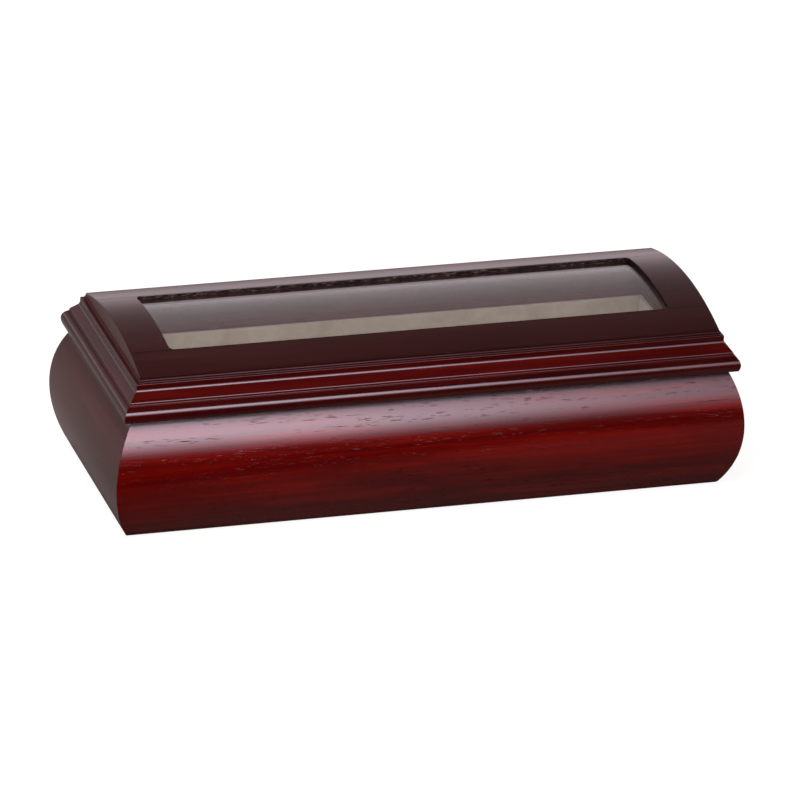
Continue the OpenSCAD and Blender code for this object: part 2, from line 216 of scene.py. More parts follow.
def traceSection(name, off, start, strokes):
    # A point is (distance out from the rim, height). A stroke of two numbers is a straight line;
    # five are an arc: its end, radius, the side it swells to (1 left, -1 right) and steps.
    clearSelection()
    bpy.ops.mesh.primitive_plane_add(size=2 * mm)
    piece = bpy.context.object
    piece.name = piece.data.name = name
    bpy.ops.object.mode_set(mode="EDIT")
    bpy.ops.mesh.select_mode(type="VERT")
    bpy.ops.mesh.select_all(action="SELECT")
    bpy.ops.mesh.merge(type="CENTER")
    bpy.ops.transform.translate(value=(0, -(off + start[0]) * mm, start[1] * mm))
    at = Vector(start)
    for stroke in strokes:
        to = Vector(stroke[:2])
        if len(stroke) == 2:
            step = (to - at) * mm
            bpy.ops.mesh.extrude_region_move(TRANSFORM_OT_translate={"value": (0, -step.x, step.y)})
        else:
            radius, side, steps = stroke[2:]
            chord = to - at
            rise = math.sqrt(max(0, radius**2 - chord.length_squared / 4))
            centre = (at + to) / 2 - side * rise * Vector((-chord.y, chord.x)).normalized()
            first, last = at - centre, to - centre
            turn = math.atan2(first.cross(last), first.dot(last))
            bpy.ops.mesh.spin(
                steps=steps,
                angle=turn,
                center=(0, -(off + centre.x) * mm, centre.y * mm),
                axis=(1, 0, 0),
            )
        at = to
    bpy.ops.mesh.select_all(action="SELECT")
    bpy.ops.mesh.remove_doubles(threshold=2e-6)
    bpy.ops.mesh.select_all(action="SELECT")
    bpy.ops.mesh.edge_face_add()
    return piece


def roundCorners(piece, off, corners):
    # eases corners of a section: (distance out, height, radius, segments)
    for out, height, radius, segments in corners:
        place = Vector((0, -(off + out) * mm, height * mm))
        found = pick(piece, "VERT", lambda v: (v.co - place).length < 0.02 * mm)
        if found != 1:
            raise RuntimeError(f"{piece.name}: {found} corners at {out}, {height} in the section")
        bpy.ops.mesh.bevel(offset=radius * mm, segments=segments, affect="VERTICES")


def runSection(piece, low, high):
    # runs the section along X
    bpy.ops.mesh.select_all(action="SELECT")
    bpy.ops.transform.translate(value=(low * mm, 0, 0))
    bpy.ops.mesh.extrude_region_move(TRANSFORM_OT_translate={"value": ((high - low) * mm, 0, 0)})
    faceOutwards()


def mitreEnds(piece, half, off, hairline):
    # saws both ends at 45 degrees through the rim's corners, and breaks the sawn arrises a hair
    for side in (-1, 1):
        bpy.ops.mesh.select_all(action="SELECT")
        bpy.ops.mesh.bisect(
            plane_co=(side * half * mm, -off * mm, 0),
            plane_no=(side, 1, 0),
            use_fill=True,
            clear_outer=True,
        )
    pick(piece, "FACE", lambda f: abs(f.normal.x) > 0.6 and abs(f.normal.y) > 0.6)
    bpy.ops.mesh.region_to_loop()
    bpy.ops.mesh.bevel(offset=hairline * mm, segments=1, affect="EDGES")
    faceOutwards()


def turnToSide(piece, turn):
    workOn(piece)
    piece.rotation_euler.z = math.radians(turn)
    bpy.ops.object.transform_apply()


# Materials


def tone(hexText):
    # sRGB hex to the linear colour that a shader takes
    parts = [int(hexText[i : i + 2], 16) / 255 for i in (1, 3, 5)]
    return tuple(
        c / 12.92 if c <= 0.04045 else ((c + 0.055) / 1.055) ** 2.4 for c in parts
    ) + (1.0,)


def addNode(tree, kind, settings=None, links=None):
    # Adds a node. Settings go to its sockets by name or index, or to its own fields; "stops" of
    # (place, colour) are for a ramp, "range" (from, from, to, to) for a mapped range.
    # Links are {socket: an output, or a node for its first one}.
    node = tree.nodes.new("ShaderNode" + kind)
    for key, value in (settings or {}).items():
        if key == "stops":
            line = node.color_ramp.elements
            line[0].position, line[0].color = value[0]
            line[1].position, line[1].color = value[-1]
            for place, colour in value[1:-1]:
                line.new(place).color = colour
        elif key == "range":
            for socket, number in zip(("From Min", "From Max", "To Min", "To Max"), value):
                node.inputs[socket].default_value = number
        elif isinstance(key, str) and hasattr(node, key):
            setattr(node, key, value)
        else:
            node.inputs[key].default_value = value
    for key, source in (links or {}).items():
        output = source.outputs[0] if isinstance(source, bpy.types.Node) else source
        tree.links.new(output, node.inputs[key])
    return node


def newMaterial(name):
    made = bpy.data.materials.new(name)
    made.use_nodes = True
    made.node_tree.nodes.clear()
    return made, made.node_tree


mahogany = {
    "streakLength": 150,  # mm, the long streaks of the figure
    "streakWidth": 4.5,
    "fibreLength": 34,  # mm, fine fibres, drawn about twice as coarse as real ones so that they show
    "fibreWidth": 0.7,
    "cloudLength": 90,  # mm, uneven take-up of the stain
    "cloudWidth": 14,
    "poreLength": 5.5,  # mm, open pores, short dashes along the grain
    "poreWidth": 0.25,
    "poreDepth": 0.12,
    "lacquerRoughness": 0.13,
}


def stainedMahogany(name, grain, shade, pores, lacquerRoughness=None, seed=0.0):
    # Mahogany, stained and sprayed with a satin-gloss lacquer: deep red wood seen through a clear coat,
    # soft-edged highlights, dark open pores that sink the coat a little.
    # grain is "x" or "y", shade a row of woodTones, pores how many are open.
    made, tree = newMaterial(name)
    place = addNode(tree, "TexCoord").outputs["Object"]
    turned = addNode(
        tree,
        "Mapping",
        {
            "Location": (seed, seed * 1.7, seed * 0.6),
            "Rotation": (0, 0, 0 if grain == "x" else math.radians(90)),
        },
        {"Vector": place},
    )

    def grainNoise(length, width, detail, roughness, distortion=0.0):
        long, wide = 1 / (length * mm), 1 / (width * mm)
        stretched = addNode(tree, "Mapping", {"Scale": (long, wide, wide)}, {"Vector": turned})
        return addNode(
            tree,
            "TexNoise",
            {"Scale": 1.0, "Detail": detail, "Roughness": roughness, "Distortion": distortion},
            {"Vector": stretched},
        )

    w = mahogany
    tones = [tone(hexText) for hexText in woodTones[shade]]
    streaks = grainNoise(w["streakLength"], w["streakWidth"], 4, 0.58, 0.9)
    fibres = grainNoise(w["fibreLength"], w["fibreWidth"], 3, 0.6, 0.4)
    clouds = grainNoise(w["cloudLength"], w["cloudWidth"], 2, 0.5, 0.6)
    dashes = grainNoise(w["poreLength"], w["poreWidth"], 1, 0.3)
    groups = grainNoise(w["poreLength"] * 12, w["poreWidth"] * 10, 2, 0.6, 0.5)

    figure = addNode(
        tree,
        "ValToRGB",
        {"stops": [(0.30, tones[0]), (0.50, tones[1]), (0.70, tones[2])]},
        {"Fac": streaks},
    )
    cloudy = addNode(tree, "MapRange", {"range": (0.42, 0.72, 0, 0.75)}, {"Value": clouds})
    stained = addNode(
        tree, "Mix", {"data_type": "RGBA", 7: tones[0]}, {0: cloudy, 6: figure}
    ).outputs[2]
    fibreShade = addNode(tree, "MapRange", {"range": (0.3, 0.7, 0.87, 1.10)}, {"Value": fibres})
    fibred = addNode(
        tree,
        "Mix",
        {"data_type": "RGBA", "blend_type": "MULTIPLY", 0: 1.0},
        {6: stained, 7: fibreShade},
    ).outputs[2]
    # pores show only where a dash falls inside a group
    poreEdge = addNode(tree, "MapRange", {"range": (0.66, 0.72)}, {"Value": dashes})
    inGroup = addNode(
        tree, "MapRange", {"range": (0.70 - 0.25 * pores, 0.78 - 0.25 * pores)}, {"Value": groups}
    )
    pore = addNode(tree, "Math", {"operation": "MULTIPLY"}, {0: poreEdge, 1: inGroup})
    colour = addNode(
        tree, "Mix", {"data_type": "RGBA", 7: tone("#1a0606")}, {0: pore, 6: fibred}
    ).outputs[2]
    # the coat breaks over the pores, which sink; the fibres telegraph faintly through it
    coat = addNode(tree, "Math", {"operation": "MULTIPLY_ADD", 1: -0.85, 2: 1.0}, {0: pore})
    relief = addNode(
        tree,
        "Math",
        {"operation": "MULTIPLY_ADD", 1: -1.0},
        {0: pore, 2: addNode(tree, "Math", {"operation": "MULTIPLY", 1: 0.10}, {0: fibres})},
    )
    bump = addNode(
        tree, "Bump", {"Strength": 0.35, "Distance": w["poreDepth"] * mm}, {"Height": relief}
    )
    wood = addNode(
        tree,
        "BsdfPrincipled",
        {
            "Roughness": 0.6,
            "Specular IOR Level": 0.0,
            "Coat Roughness": lacquerRoughness or w["lacquerRoughness"],
            "Coat IOR": 1.5,
        },
        {"Base Color": colour, "Coat Weight": coat, "Normal": bump, "Coat Normal": bump},
    )
    addNode(tree, "OutputMaterial", {}, {"Surface": wood})
    return made


def rawWindowEdge(name, shades):
    # The sawn edge of the window: end grain and fibres that drank the stain, dull, with bare flecks.
    made, tree = newMaterial(name)
    place = addNode(tree, "TexCoord").outputs["Object"]
    ragged = addNode(
        tree,
        "TexNoise",
        {"Scale": 1 / (0.8 * mm), "Detail": 3.0, "Roughness": 0.65},
        {"Vector": addNode(tree, "Mapping", {"Scale": (0.22, 1, 1)}, {"Vector": place})},
    )
    stops = list(zip((0.38, 0.50, 0.59, 0.70), (tone(shade) for shade in shades)))
    colour = addNode(tree, "ValToRGB", {"stops": stops}, {"Fac": ragged})
    bump = addNode(tree, "Bump", {"Strength": 0.6, "Distance": 0.2 * mm}, {"Height": ragged})
    wood = addNode(
        tree,
        "BsdfPrincipled",
        {"Roughness": 0.7, "Specular IOR Level": 0.2},
        {"Base Color": colour, "Normal": bump},
    )
    addNode(tree, "OutputMaterial", {}, {"Surface": wood})
    return made


def microSuede(name, dark, light, nap):
    # Polyester micro-suede, brushed: matt, a soft light bloom at grazing angles, cloudy brush marks.
    # The nap's tufts are about 0.3 mm; nap is how coarse they are drawn, in mm, so that they show.
    made, tree = newMaterial(name)
    place = addNode(tree, "TexCoord").outputs["Object"]
    tufts = addNode(
        tree,
        "TexNoise",
        {"Scale": 1 / (nap * mm), "Detail": 3.0, "Roughness": 0.7},
        {"Vector": place},
    )
    brushed = addNode(
        tree,
        "TexNoise",
        {"Scale": 1 / (18 * mm), "Detail": 3.0, "Roughness": 0.6, "Distortion": 1.2},
        {"Vector": place},
    )
    both = addNode(
        tree,
        "Math",
        {"operation": "MULTIPLY_ADD", 1: 0.5},
        {0: brushed, 2: addNode(tree, "Math", {"operation": "MULTIPLY", 1: 0.5}, {0: tufts})},
    )
    colour = addNode(tree, "ValToRGB", {"stops": [(0.35, dark), (0.65, light)]}, {"Fac": both})
    bump = addNode(tree, "Bump", {"Strength": 0.4, "Distance": 0.15 * mm}, {"Height": tufts})
    cloth = addNode(
        tree,
        "BsdfPrincipled",
        {
            "Roughness": 0.95,
            "Specular IOR Level": 0.2,
            "Sheen Weight": 0.35,
            "Sheen Roughness": 0.45,
        },
        {"Base Color": colour, "Normal": bump},
    )
    addNode(tree, "OutputMaterial", {}, {"Surface": cloth})
    return made


def woolFelt(name, dark, light):
    # Pressed wool felt: matted fibres, no shine.
    made, tree = newMaterial(name)
    place = addNode(tree, "TexCoord").outputs["Object"]
    matted = addNode(
        tree,
        "TexNoise",
        {"Scale": 1 / (0.8 * mm), "Detail": 6.0, "Roughness": 0.75, "Distortion": 2.0},
        {"Vector": place},
    )
    colour = addNode(tree, "ValToRGB", {"stops": [(0.35, dark), (0.65, light)]}, {"Fac": matted})
    bump = addNode(tree, "Bump", {"Strength": 0.6, "Distance": 0.25 * mm}, {"Height": matted})
    cloth = addNode(
        tree,
        "BsdfPrincipled",
        {"Roughness": 1.0, "Specular IOR Level": 0.1, "Sheen Weight": 0.4, "Sheen Roughness": 0.6},
        {"Base Color": colour, "Normal": bump},
    )
    addNode(tree, "OutputMaterial", {}, {"Surface": cloth})
    return made


def birchPlywood(name):
    # Birch plywood, unfinished: pale, faint long grain, matt.
    made, tree = newMaterial(name)
    place = addNode(tree, "TexCoord").outputs["Object"]
    stretched = addNode(
        tree,
        "Mapping",
        {"Scale": (1 / (90 * mm), 1 / (2.5 * mm), 1 / (2.5 * mm))},
        {"Vector": place},
    )
    grainLines = addNode(
        tree, "TexNoise", {"Scale": 1.0, "Detail": 4.0, "Roughness": 0.6}, {"Vector": stretched}
    )
    colour = addNode(
        tree,
        "ValToRGB",
        {"stops": [(0.3, tone("#a98860")), (0.7, tone("#cdb38a"))]},
        {"Fac": grainLines},
    )
    wood = addNode(tree, "BsdfPrincipled", {"Roughness": 0.75}, {"Base Color": colour})
    addNode(tree, "OutputMaterial", {}, {"Surface": wood})
    return made


def drawnBrass(name, bright, dull, roughness):
    # Yellow brass, drawn and lightly lacquered: fine lengthwise marks and faint tarnish in patches.
    made, tree = newMaterial(name)
    place = addNode(tree, "TexCoord").outputs["Object"]
    tarnish = addNode(
        tree,
        "TexNoise",
        {"Scale": 1 / (4 * mm), "Detail": 4.0, "Roughness": 0.6},
        {"Vector": place},
    )
    marks = addNode(
        tree,
        "TexNoise",
        {"Scale": 1.0, "Detail": 2.0, "Roughness": 0.5},
        {
            "Vector": addNode(
                tree,
                "Mapping",
                {"Scale": (1 / (9 * mm), 1 / (0.12 * mm), 1 / (0.12 * mm))},
                {"Vector": place},
            )
        },
    )
    colour = addNode(tree, "ValToRGB", {"stops": [(0.35, bright), (0.75, dull)]}, {"Fac": tarnish})
    shine = addNode(
        tree, "MapRange", {"range": (0.3, 0.7, roughness * 0.75, roughness * 1.4)}, {"Value": marks}
    )
    bump = addNode(tree, "Bump", {"Strength": 0.15, "Distance": 0.02 * mm}, {"Height": marks})
    metal = addNode(
        tree,
        "BsdfPrincipled",
        {"Metallic": 1.0},
        {"Base Color": colour, "Roughness": shine, "Normal": bump},
    )
    addNode(tree, "OutputMaterial", {}, {"Surface": metal})
    return made


def clearAcrylic(name):
    # Cast acrylic sheet, bent to the arch: clear, with a faint drawn waviness. Lamps shine through it
    # to the lining.
    made, tree = newMaterial(name)
    place = addNode(tree, "TexCoord").outputs["Object"]
    waves = addNode(tree, "TexNoise", {"Scale": 1 / (55 * mm), "Detail": 1.0}, {"Vector": place})
    bump = addNode(tree, "Bump", {"Strength": 0.08, "Distance": 0.3 * mm}, {"Height": waves})
    sheet = addNode(
        tree,
        "BsdfPrincipled",
        {
            "Base Color": (0.97, 0.965, 0.965, 1),
            "Roughness": 0.03,
            "IOR": 1.54,
            "Transmission Weight": 1.0,
        },
        {"Normal": bump},
    )
    path = addNode(tree, "LightPath")
    letThrough = addNode(tree, "BsdfTransparent", {"Color": (0.9, 0.9, 0.9, 1)})
    both = addNode(
        tree, "MixShader", {}, {0: path.outputs["Is Shadow Ray"], 1: sheet, 2: letThrough}
    )
    addNode(tree, "OutputMaterial", {}, {"Surface": both})
    return made


# tones of the stained wood, from the dark streaks to the light ones; the quirk and end rows are darker
# copies that carry painted shade
woodTones = {
    "board": ("#520504", "#6f0905", "#870e06"),
    # end boards: the long boards' wood in darker tones, painted shade on the ends
    "endBoard": ("#340c0a", "#42110f", "#501612"),
    "moulding": ("#3c0808", "#4c0b0a", "#5b100d"),
    # end mouldings: the long moulding's tones made darker, painted shade on the end rails
    "endMoulding": ("#2b0907", "#360c0a", "#420f0d"),
    # quirks: the moulding's tones made darker, painted shade for the rails' quirks
    "quirk": ("#2a0606", "#360807", "#420a09"),
    "arch": ("#270c0b", "#2d0e0d", "#32110f"),
    "archEnd": ("#3a1410", "#481c17", "#56241e"),
    "inner": ("#441110", "#511412", "#5f1815"),
}
woodBodyX = stainedMahogany("Lacquered mahogany of the long boards", "x", "board", 0.8, seed=0.31)
# the end boards' grain runs along Y; their darker tones are painted shade
woodBodyY = stainedMahogany("Lacquered mahogany of the end boards", "y", "endBoard", 0.4, seed=0.74)
woodMouldX = stainedMahogany("Lacquered mahogany moulding, long", "x", "moulding", 0.2, seed=1.13)
# the end rails' darker tones are painted shade
woodMouldY = stainedMahogany(
    "Lacquered mahogany moulding, ends", "y", "endMoulding", 0.2, seed=1.62
)
# painted shade: a darker copy of the moulding's wood for the quirks and the bead's shoulder
woodQuirkPaintedShade = stainedMahogany("Lacquered mahogany, dark in the quirks", "x", "quirk", 0.1, seed=1.9)
woodArch = stainedMahogany("Lacquered mahogany lid panel", "x", "arch", 0.1, 0.22, seed=2.21)
woodArchEnd = stainedMahogany(
    "Lacquered mahogany, ends of the arch", "y", "archEnd", 0.5, 0.3, seed=2.6
)
woodStrip = stainedMahogany("Stained glazing strip", "x", "arch", 0.1, 0.4, seed=2.9)
woodInner = stainedMahogany(
    "Stained mahogany, unpolished inner faces", "x", "inner", 0.1, 0.5, seed=3.3
)
windowEdge = rawWindowEdge(
    "Sawn, stained edge of the window", ("#080404", "#241412", "#44302d", "#83695f")
)
windowEndGrain = rawWindowEdge(
    "Stained end grain of the window", ("#050203", "#0e0606", "#1c0f0d", "#38251f")
)
suedeLining = microSuede("Micro-suede lining", tone("#a09184"), tone("#bbaea2"), 0.5)
suedePillow = microSuede("Micro-suede pillow cover", tone("#9e8f80"), tone("#b9aa9b"), 0.5)
feltBase = woolFelt("Black wool felt", tone("#101012"), tone("#26262a"))
plyBase = birchPlywood("Birch plywood")
brassHinge = drawnBrass("Drawn brass of the hinges", tone("#d0a85a"), tone("#a8803c"), 0.24)
brassScrew = drawnBrass("Turned brass of pins and screws", tone("#c79a4a"), tone("#97702f"), 0.3)
acrylic = clearAcrylic("Clear acrylic sheet")
print("materials made")


# Body: four bombé boards, mitred

wall = {
    "thickness": 9.5,
    "bottom": 0.6,
    "bulgeRadius": 57.06,
    "rabbetWidth": 4.0,
    "rabbetTop": 5.6,
    "footRound": 1.2,
    "rimRound": 0.45,
    "hairline": 0.12,
    "arcSteps": 48,
}


def bodyBoard(name, turn):
    off, half = rim["halfDepth"], rim["halfLength"]
    if turn % 180:
        off, half = half, off
    inner, low, top = -wall["thickness"], wall["bottom"], rim["height"]
    piece = traceSection(
        name,
        off,
        (0, low),
        [
            (0, top, wall["bulgeRadius"], -1, wall["arcSteps"]),
            (inner, top),
            (inner, wall["rabbetTop"]),
            (inner + wall["rabbetWidth"], wall["rabbetTop"]),
            (inner + wall["rabbetWidth"], low),
            (0, low),
        ],
    )
    roundCorners(
        piece,
        off,
        [
            (0, low, wall["footRound"], 4),
            (0, top, wall["rimRound"], 3),
            (inner, top, wall["rimRound"], 3),
        ],
    )
    runSection(piece, -half - overrun, half + overrun)
    mitreEnds(piece, half, off, wall["hairline"])
    turnToSide(piece, turn)
    return piece


boards = {side: bodyBoard(f"{side}Board", turn) for side, turn in sideTurns.items()}
print("body boards traced and mitred")

# Lid: four moulded rails, mitred

rail = {
    "innerFace": -9.5,
    "beadOut": 5.1,
    "beadRadius": 5.3,
    "beadNose": 2.9,
    "beadFoot": 0.6,
    "beadTop": 7.3,
    "paintedShadeFoot": 5.5,  # height from which the bead's shoulder gets painted shade
    "stepWidth": 0.4,
    "stepHeight": 0.8,
    "slopeWidth": 2.9,
    "slopeHeight": 3.1,
    "coveWidth": 0.9,
    "coveHeight": 2.4,
    "coveRadius": 3.2,
    "filletHeight": 1.8,
    "flatWidth": 1.4,
    "lipWidth": 0.6,
    "lipHeight": 1.3,
    "lipLean": 0.3,  # share of the lip's width that its face leans back
    "ledgeDrop": 2.0,
    "arris": 0.3,
    "beadArris": 0.15,
    "stepArris": 0.36,
    "lipArris": 0.26,
    "hairline": 0.1,
}


def beadAt(height):
    # how far the round face of the bead stands out at a height over the rim
    rise = height - rail["beadNose"]
    return rail["beadOut"] - rail["beadRadius"] + math.sqrt(rail["beadRadius"] ** 2 - rise**2)


slopeOut = beadAt(rail["beadTop"]) - 2 * rail["stepWidth"]
slopeFoot = rim["height"] + rail["beadTop"] + 2 * rail["stepHeight"]
coveOut = slopeOut - rail["slopeWidth"]
coveFoot = slopeFoot + rail["slopeHeight"]
filletOut = coveOut - rail["coveWidth"]
flatTop = coveFoot + rail["coveHeight"] + rail["filletHeight"]
lipOut = filletOut - rail["flatWidth"]
lipIn = lipOut - rail["lipWidth"]
lipTop = flatTop + rail["lipHeight"]
ledge = flatTop - rail["ledgeDrop"]


def lidRail(name, turn):
    off, half = rim["halfDepth"], rim["halfLength"]
    if turn % 180:
        off, half = half, off
    z = rim["height"]
    foot, inner = rail["beadFoot"], rail["innerFace"]
    beadOutTop = beadAt(rail["beadTop"])
    stepOut = beadOutTop - rail["stepWidth"]
    stepTop = z + rail["beadTop"] + rail["stepHeight"]
    lipFace = lipOut - rail["lipLean"] * rail["lipWidth"]
    piece = traceSection(
        name,
        off,
        (inner, z),
        [
            (beadAt(foot) - foot, z),
            (beadAt(foot), z + foot, foot, -1, 5),
            (beadOutTop, z + rail["beadTop"], rail["beadRadius"], -1, 28),
            (stepOut, z + rail["beadTop"]),
            (stepOut, stepTop),
            (slopeOut, stepTop),
            (slopeOut, slopeFoot),
            (coveOut, coveFoot),
            (filletOut, coveFoot + rail["coveHeight"], rail["coveRadius"], 1, 12),
            (filletOut, flatTop),
            (lipOut, flatTop),
            (lipFace, lipTop),
            (lipIn, lipTop),
            (lipIn, ledge),
            (inner, ledge),
            (inner, z),
        ],
    )
    roundCorners(
        piece,
        off,
        [
            (filletOut, flatTop, rail["arris"], 3),
            (beadOutTop, z + rail["beadTop"], rail["beadArris"], 2),
            (stepOut, stepTop, rail["stepArris"], 4),
            (slopeOut, slopeFoot, rail["stepArris"], 4),
            (lipFace, lipTop, rail["lipArris"], 4),
            (inner, z, rail["arris"], 2),
            (inner, ledge, rail["arris"], 2),
        ],
    )
    runSection(piece, -half - overrun, half + overrun)
    mitreEnds(piece, half, off, rail["hairline"])
    turnToSide(piece, turn)
    return piece


rails = {side: lidRail(f"lid{side.capitalize()}Rail", turn) for side, turn in sideTurns.items()}
print("lid rails traced and mitred")

# Hinge seats cut into the back board and the back rail

hinge = {
    "places": (-88.0, 88.0),
    "length": 30.0,
    "axisY": 54.3,
    "leafInner": 42.5,
    "leafOuter": 52.1,
    "leafThick": 1.2,
    "leafFit": 0.1,
    "knuckles": 5,
    "knuckleRadius": 1.9,
    "knuckleGap": 0.15,
    "boreRadius": 0.95,
    "pinRadius": 0.9,
    "pinHeadRadius": 1.5,
    "pinHeadThick": 0.5,
    "pinSunk": 0.4,  # how far the pin's shaft goes into its heads
    "scoopRadius": 2.2,
    "tongueIn": 0.2,  # how far a tongue starts inside the plate
    "tongueShort": 1.0,  # and ends before the axis, inside the knuckle
    "arris": 0.12,
    "tongueArris": 0.1,
    "pinArris": 0.18,
    "screwPitch": 18.0,
    "screwY": 46.1,
    "screwHead": 1.8,
    "screwFit": 0.06,
    "screwLength": 9.0,
    "screwTip": 2.0,
    "screwPoint": 1.05,
}
pastBack, pastRim = 70, 0.3  # the seats' cutters run out behind the box and past the rim
for x in hinge["places"]:
    half = hinge["length"] / 2 + hinge["leafFit"]
    z, t = rim["height"], hinge["leafThick"]
    inner = hinge["leafInner"] - hinge["leafFit"]
    low = block("seat", (x - half, inner, z - t), (x + half, pastBack, z + pastRim))
    cutAway(boards["back"], low)
    high = block("seat", (x - half, inner, z - pastRim), (x + half, pastBack, z + t))
    cutAway(rails["back"], high)
    reach = half + hinge["pinHeadThick"]
    scoop = bar(
        "scoop",
        (x - reach, hinge["axisY"], z),
        (x + reach, hinge["axisY"], z),
        hinge["scoopRadius"],
        48,
    )
    cutAway(rails["back"], scoop)


def dressInside(piece, long, outside):
    # lacquered outside; the inner face is only stained
    piece.data.materials.append(outside)
    piece.data.materials.append(woodInner)
    inner = (rim["halfDepth"] if long else rim["halfLength"]) + rail["innerFace"]
    for face in piece.data.polygons:
        depth = abs(face.center.y if long else face.center.x) / mm
        face.material_index = 1 if depth < inner + 0.05 else 0


def paintShadeInQuirks(piece, long):
    # painted shade in the quirks: the lip, the flat and, on the long rails, the bead's upward-facing
    # shoulder get a darker copy of the moulding's wood
    piece.data.materials.append(woodQuirkPaintedShade)
    rimEdge = rim["halfDepth"] if long else rim["halfLength"]
    for face in piece.data.polygons:
        out = abs(face.center.y if long else face.center.x) / mm - rimEdge
        z = face.center.z / mm
        onLip = flatTop + 0.05 < z < lipTop - 0.2 and out > lipIn + 0.1
        onFlat = abs(z - flatTop) < 0.05 and lipOut < out < filletOut
        onShoulder = rail["paintedShadeFoot"] < z - rim["height"] < rail["beadTop"] - 0.05
        onBead = long and onShoulder and out > 0
        if onLip or onFlat or onBead:
            face.material_index = 2


woodAngle = 32  # degrees, up to which the lacquer runs smoothly over an edge
for side, piece in boards.items():
    long = side in ("front", "back")
    smoothOff(piece, woodAngle)
    dressInside(piece, long, woodBodyX if long else woodBodyY)
    handOver(piece, "case", f"{side}_board", "body_wood")
for side, piece in rails.items():
    long = side in ("front", "back")
    smoothOff(piece, woodAngle)
    dressInside(piece, long, woodMouldX if long else woodMouldY)
    paintShadeInQuirks(piece, long)
    handOver(piece, "lid", f"lid_{side}_rail", "lid_wood")
print("hinge seats cut, boards and rails finished")

# Lid: arched panel with its window, end fillers, pane and glazing strips

arch = {
    "edgeHeight": 2.6,
    "rise": 7.1,
    "thick": 6.0,
    "overPane": 2.0,  # from the wood's surface down to the pane
    "paneThick": 2.0,
    "borderEnd": 18.9,
    "borderSide": 16.9,
    "windowCorner": 3.5,
    "lap": 5.0,
    "paneFit": 0.1,
    "endThick": 6.0,
    "arris": 0.4,
    "longArris": 0.15,
    "rimArris": 0.35,
    "steps": 96,
    "cutter": (60, 100),  # heights between which the window's cutter stands
    "rebateOpen": 1,  # how far the rebate's cutter goes past the panel's inner side
}
halfPanel = rim["halfLength"] + lipIn
halfPanelY = rim["halfDepth"] + lipIn
spring = flatTop + arch["edgeHeight"]
outerRadius = (halfPanelY**2 + arch["rise"] ** 2) / (2 * arch["rise"])
archCentre = spring + arch["rise"] - outerRadius
innerRadius = outerRadius - arch["thick"]
paneRadius = outerRadius - arch["overPane"]
paneFoot = paneRadius - arch["paneThick"]
halfWindow = halfPanel - arch["borderEnd"]
halfWindowY = halfPanelY - arch["borderSide"]


def heightOn(radius, y):
    return archCentre + math.sqrt(radius**2 - y**2)


def archStrip(name, lowRadius, highRadius, front, back, steps, foot=None):
    # a piece of the arch between two radii, with upright sides; a foot levels its lower side
    lowFront, lowBack = heightOn(lowRadius, front), heightOn(lowRadius, back)
    points = [
        (-front, heightOn(highRadius, front)),
        (-back, heightOn(highRadius, back), highRadius, -1, steps),
    ]
    if foot is None:
        start = (-front, lowFront)
        points += [(-back, lowBack), (-front, lowFront, lowRadius, 1, steps)]
    else:
        start = (-front, foot)
        flat = math.sqrt(lowRadius**2 - (foot - archCentre) ** 2)
        points += [(-back, foot), (-flat, foot), (flat, foot, lowRadius, 1, steps), (-front, foot)]
    return traceSection(name, 0, start, points)


panel = archStrip(
    "lidArchPanel", innerRadius, outerRadius, -halfPanelY, halfPanelY, arch["steps"], ledge
)
roundCorners(panel, 0, [(s * halfPanelY, spring, arch["longArris"], 1) for s in (-1, 1)])
runSection(panel, -halfPanel, halfPanel)


def onArchEnd(edge):
    # the outer arris of the panel's two ends
    for v in edge.verts:
        x, y, z = v.co / mm
        if abs(abs(x) - halfPanel) > 0.01 or heightOn(outerRadius, y) - z > 0.6:
            return False
    return True


pick(panel, "EDGE", onArchEnd)
bpy.ops.mesh.bevel(offset=arch["arris"] * mm, segments=3, affect="EDGES")

low, high = arch["cutter"]
window = block("window", (-halfWindow, -halfWindowY, low), (halfWindow, halfWindowY, high))
editMode(window, "EDGE")
pick(window, "EDGE", lambda e: abs((e.verts[0].co - e.verts[1].co).z) > 0.03)
bpy.ops.mesh.bevel(offset=arch["windowCorner"] * mm, segments=8, affect="EDGES")
cutAway(panel, window)
lapX, lapY = halfWindow + arch["lap"], halfWindowY + arch["lap"]
rebate = archStrip("rebate", innerRadius - arch["rebateOpen"], paneRadius, -lapY, lapY, 64)
runSection(rebate, -lapX, lapX)
cutAway(panel, rebate)
# the window's upper arris is eased by hand
editMode(panel, "EDGE")


def onWindowRim(edge):
    for v in edge.verts:
        x, y, z = v.co / mm
        if abs(z - heightOn(outerRadius, y)) > 0.05:
            return False
        if abs(x) > halfWindow + 0.02 or abs(y) > halfWindowY + 0.02:
            return False
    return len(edge.link_faces) == 2 and edge.calc_face_angle(0) > math.radians(50)


pick(panel, "EDGE", onWindowRim)
bpy.ops.mesh.bevel(offset=arch["rimArris"] * mm, segments=2, affect="EDGES")
smoothOff(panel, woodAngle)
for finish in (woodArch, windowEdge, woodArchEnd, windowEndGrain):
    panel.data.materials.append(finish)
for face in panel.data.polygons:
    x, y, z = face.center / mm
    sawn = abs(face.normal.z) < 0.3 and abs(x) < halfWindow + 0.1 and abs(y) < halfWindowY + 0.1
    if sawn:
        face.material_index = 3 if abs(face.normal.x) > 0.5 else 1
    else:
        face.material_index = 2 if abs(x) > halfPanel - 0.05 else 0
handOver(panel, "lid", "lid_arch_panel", "lid_wood")

for side, name in ((-1, "left"), (1, "right")):
    reach = math.sqrt(innerRadius**2 - (ledge - archCentre) ** 2)
    filler = traceSection(
        f"lid{name.capitalize()}End",
        0,
        (reach, ledge),
        [(-reach, ledge, innerRadius, -1, 64), (reach, ledge)],
    )
    ends = sorted((side * halfPanel, side * (halfPanel - arch["endThick"])))
    runSection(filler, *ends)
    smoothOff(filler)
    handOver(filler, "lid", f"lid_{name}_end", "lid_wood", woodArchEnd)

